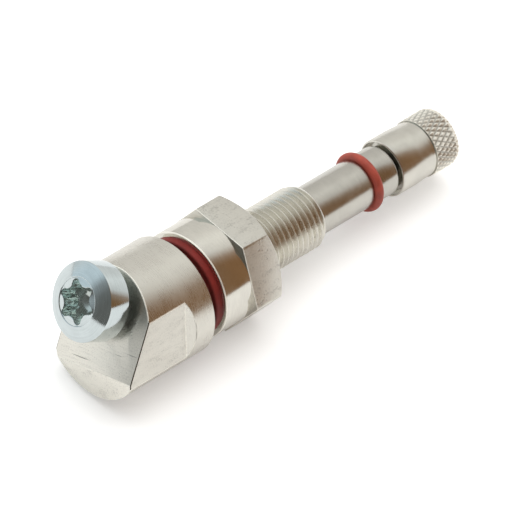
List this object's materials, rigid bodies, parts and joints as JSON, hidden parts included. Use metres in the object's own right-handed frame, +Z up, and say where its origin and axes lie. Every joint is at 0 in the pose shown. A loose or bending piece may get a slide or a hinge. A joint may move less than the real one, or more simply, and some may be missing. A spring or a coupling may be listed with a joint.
{
  "type": "tyre valve",
  "caption": "Clamp-in metal tyre valve with a slanted sensor foot and screw, red rim seal, collared hex nut, threaded stem, ring, valve core and knurled cap.",
  "frame": {"origin": "on the stem axis at the foot's sealing face", "axes": "+Z up as the valve lies at rest; +X along the stem towards the cap, which dips by about 3 degrees; +Y across"},
  "size_m": [0.074, 0.0196, 0.0218],
  "materials": {
    "nickel_body": "nickel-plated, turned and milled",
    "nickel_nut": "nickel-plated, polished collar, rough hexagon",
    "nickel_cap": "nickel-plated, satin, knurled",
    "zinc_screw": "zinc-plated",
    "seal_red": "moulded, satin",
    "ring_red": "moulded, satin",
    "core_brass": "turned",
    "spring_steel": "drawn wire",
    "black_rubber": "moulded",
    "white_seal": "moulded"
  },
  "bodies": {
    "stem": {"valve_body": "nickel_body", "rim_seal": "seal_red", "stem_ring": "ring_red", "core_plug": "core_brass", "core_barrel": "core_brass", "barrel_seal": "white_seal", "core_spring": "spring_steel"},
    "nut": {"clamp_nut": "nickel_nut"},
    "screw": {"sensor_screw": "zinc_screw"},
    "gasket": {"cap_gasket": "black_rubber"},
    "cap": {"valve_cap": "nickel_cap"},
    "pin": {"core_pin": "core_brass", "poppet_cup": "core_brass", "poppet_seal": "black_rubber"}
  },
  "joints": [
    {"name": "nut_travel", "type": "slide", "parent": "stem", "child": "nut", "axis": [0.9986, 0, -0.0529], "range_m": [0, 0.014]},
    {"name": "screw_travel", "type": "slide", "parent": "stem", "child": "screw", "axis": [-0.8858, 0.1524, 0.4383], "range_m": [-0.0016, 0.005]},
    {"name": "cap_lift", "type": "slide", "parent": "stem", "child": "gasket", "axis": [0.9986, 0, -0.0529], "range_m": [0, 0.00476]},
    {"name": "cap_turn", "type": "hinge", "parent": "gasket", "child": "cap", "pos_m": [0, 0, 0], "axis": [0.9986, 0, -0.0529], "range_deg": [0, 2160]},
    {"name": "pin_press", "type": "slide", "parent": "stem", "child": "pin", "axis": [-0.9986, 0, 0.0529], "range_m": [0, 0.0015], "stiffness_N_per_m": 800, "springref_m": -0.001, "deforming": ["core_spring"]}
  ],
  "couplings": [
    {"joint": "cap_turn", "follows": "cap_lift", "rad_per_m": 7913.3}
  ]
}
